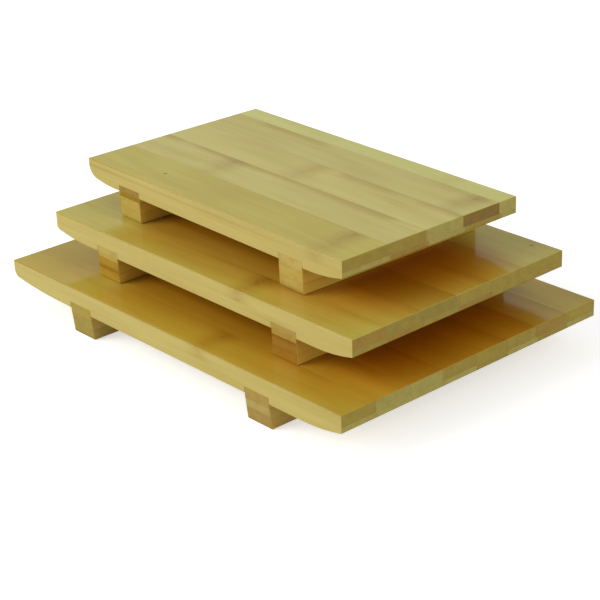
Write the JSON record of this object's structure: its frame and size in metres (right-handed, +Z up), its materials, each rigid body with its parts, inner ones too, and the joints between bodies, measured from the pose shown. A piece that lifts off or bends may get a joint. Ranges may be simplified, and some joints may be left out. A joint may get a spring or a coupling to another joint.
{
  "type": "stacking geta board set",
  "caption": "Stacked set of graded bamboo geta boards for serving sushi: laminated slabs with swept-up ends, raised on cross feet housed in the underside; each lifts off the one below.",
  "frame": {"origin": "on the floor, under the middle of the large board", "axes": "+X along the boards, +Y across them from front to back, +Z up"},
  "size_m": [0.27, 0.181, 0.0813],
  "materials": {
    "small_top_bamboo": "satin lacquer",
    "medium_top_bamboo": "gloss lacquer",
    "large_top_bamboo": "gloss lacquer",
    "under_ply_bamboo": "satin lacquer",
    "foot_bamboo": "satin lacquer"
  },
  "bodies": {
    "large_board": {"large_under_stave_1": "under_ply_bamboo", "large_under_stave_2": "under_ply_bamboo", "large_under_stave_3": "under_ply_bamboo", "large_under_stave_4": "under_ply_bamboo", "large_under_stave_5": "under_ply_bamboo", "large_under_stave_6": "under_ply_bamboo", "large_under_stave_7": "under_ply_bamboo", "large_under_stave_8": "under_ply_bamboo", "large_upper_stave_1": "large_top_bamboo", "large_upper_stave_2": "large_top_bamboo", "large_upper_stave_3": "large_top_bamboo", "large_upper_stave_4": "large_top_bamboo", "large_upper_stave_5": "large_top_bamboo", "large_upper_stave_6": "large_top_bamboo", "large_upper_stave_7": "large_top_bamboo", "large_upper_stave_8": "large_top_bamboo", "large_left_foot_lower_slat": "foot_bamboo", "large_left_foot_middle_slat": "foot_bamboo", "large_left_foot_upper_slat": "foot_bamboo", "large_right_foot_lower_slat": "foot_bamboo", "large_right_foot_middle_slat": "foot_bamboo", "large_right_foot_upper_slat": "foot_bamboo"},
    "medium_board": {"medium_under_stave_1": "under_ply_bamboo", "medium_under_stave_2": "under_ply_bamboo", "medium_under_stave_3": "under_ply_bamboo", "medium_under_stave_4": "under_ply_bamboo", "medium_under_stave_5": "under_ply_bamboo", "medium_under_stave_6": "under_ply_bamboo", "medium_upper_stave_1": "medium_top_bamboo", "medium_upper_stave_2": "medium_top_bamboo", "medium_upper_stave_3": "medium_top_bamboo", "medium_upper_stave_4": "medium_top_bamboo", "medium_upper_stave_5": "medium_top_bamboo", "medium_upper_stave_6": "medium_top_bamboo", "medium_left_foot_lower_slat": "foot_bamboo", "medium_left_foot_middle_slat": "foot_bamboo", "medium_left_foot_upper_slat": "foot_bamboo", "medium_right_foot_lower_slat": "foot_bamboo", "medium_right_foot_middle_slat": "foot_bamboo", "medium_right_foot_upper_slat": "foot_bamboo"},
    "small_board": {"small_under_stave_1": "under_ply_bamboo", "small_under_stave_2": "under_ply_bamboo", "small_under_stave_3": "under_ply_bamboo", "small_under_stave_4": "under_ply_bamboo", "small_under_stave_5": "under_ply_bamboo", "small_upper_stave_1": "small_top_bamboo", "small_upper_stave_2": "small_top_bamboo", "small_upper_stave_3": "small_top_bamboo", "small_upper_stave_4": "small_top_bamboo", "small_upper_stave_5": "small_top_bamboo", "small_left_foot_lower_slat": "foot_bamboo", "small_left_foot_middle_slat": "foot_bamboo", "small_left_foot_upper_slat": "foot_bamboo", "small_right_foot_lower_slat": "foot_bamboo", "small_right_foot_middle_slat": "foot_bamboo", "small_right_foot_upper_slat": "foot_bamboo"}
  },
  "joints": [
    {"name": "medium_lift", "type": "slide", "parent": "large_board", "child": "medium_board", "axis": [0, 0, 1], "range_m": [0, 0.1]},
    {"name": "small_lift", "type": "slide", "parent": "medium_board", "child": "small_board", "axis": [0, 0, 1], "range_m": [0, 0.1]}
  ]
}
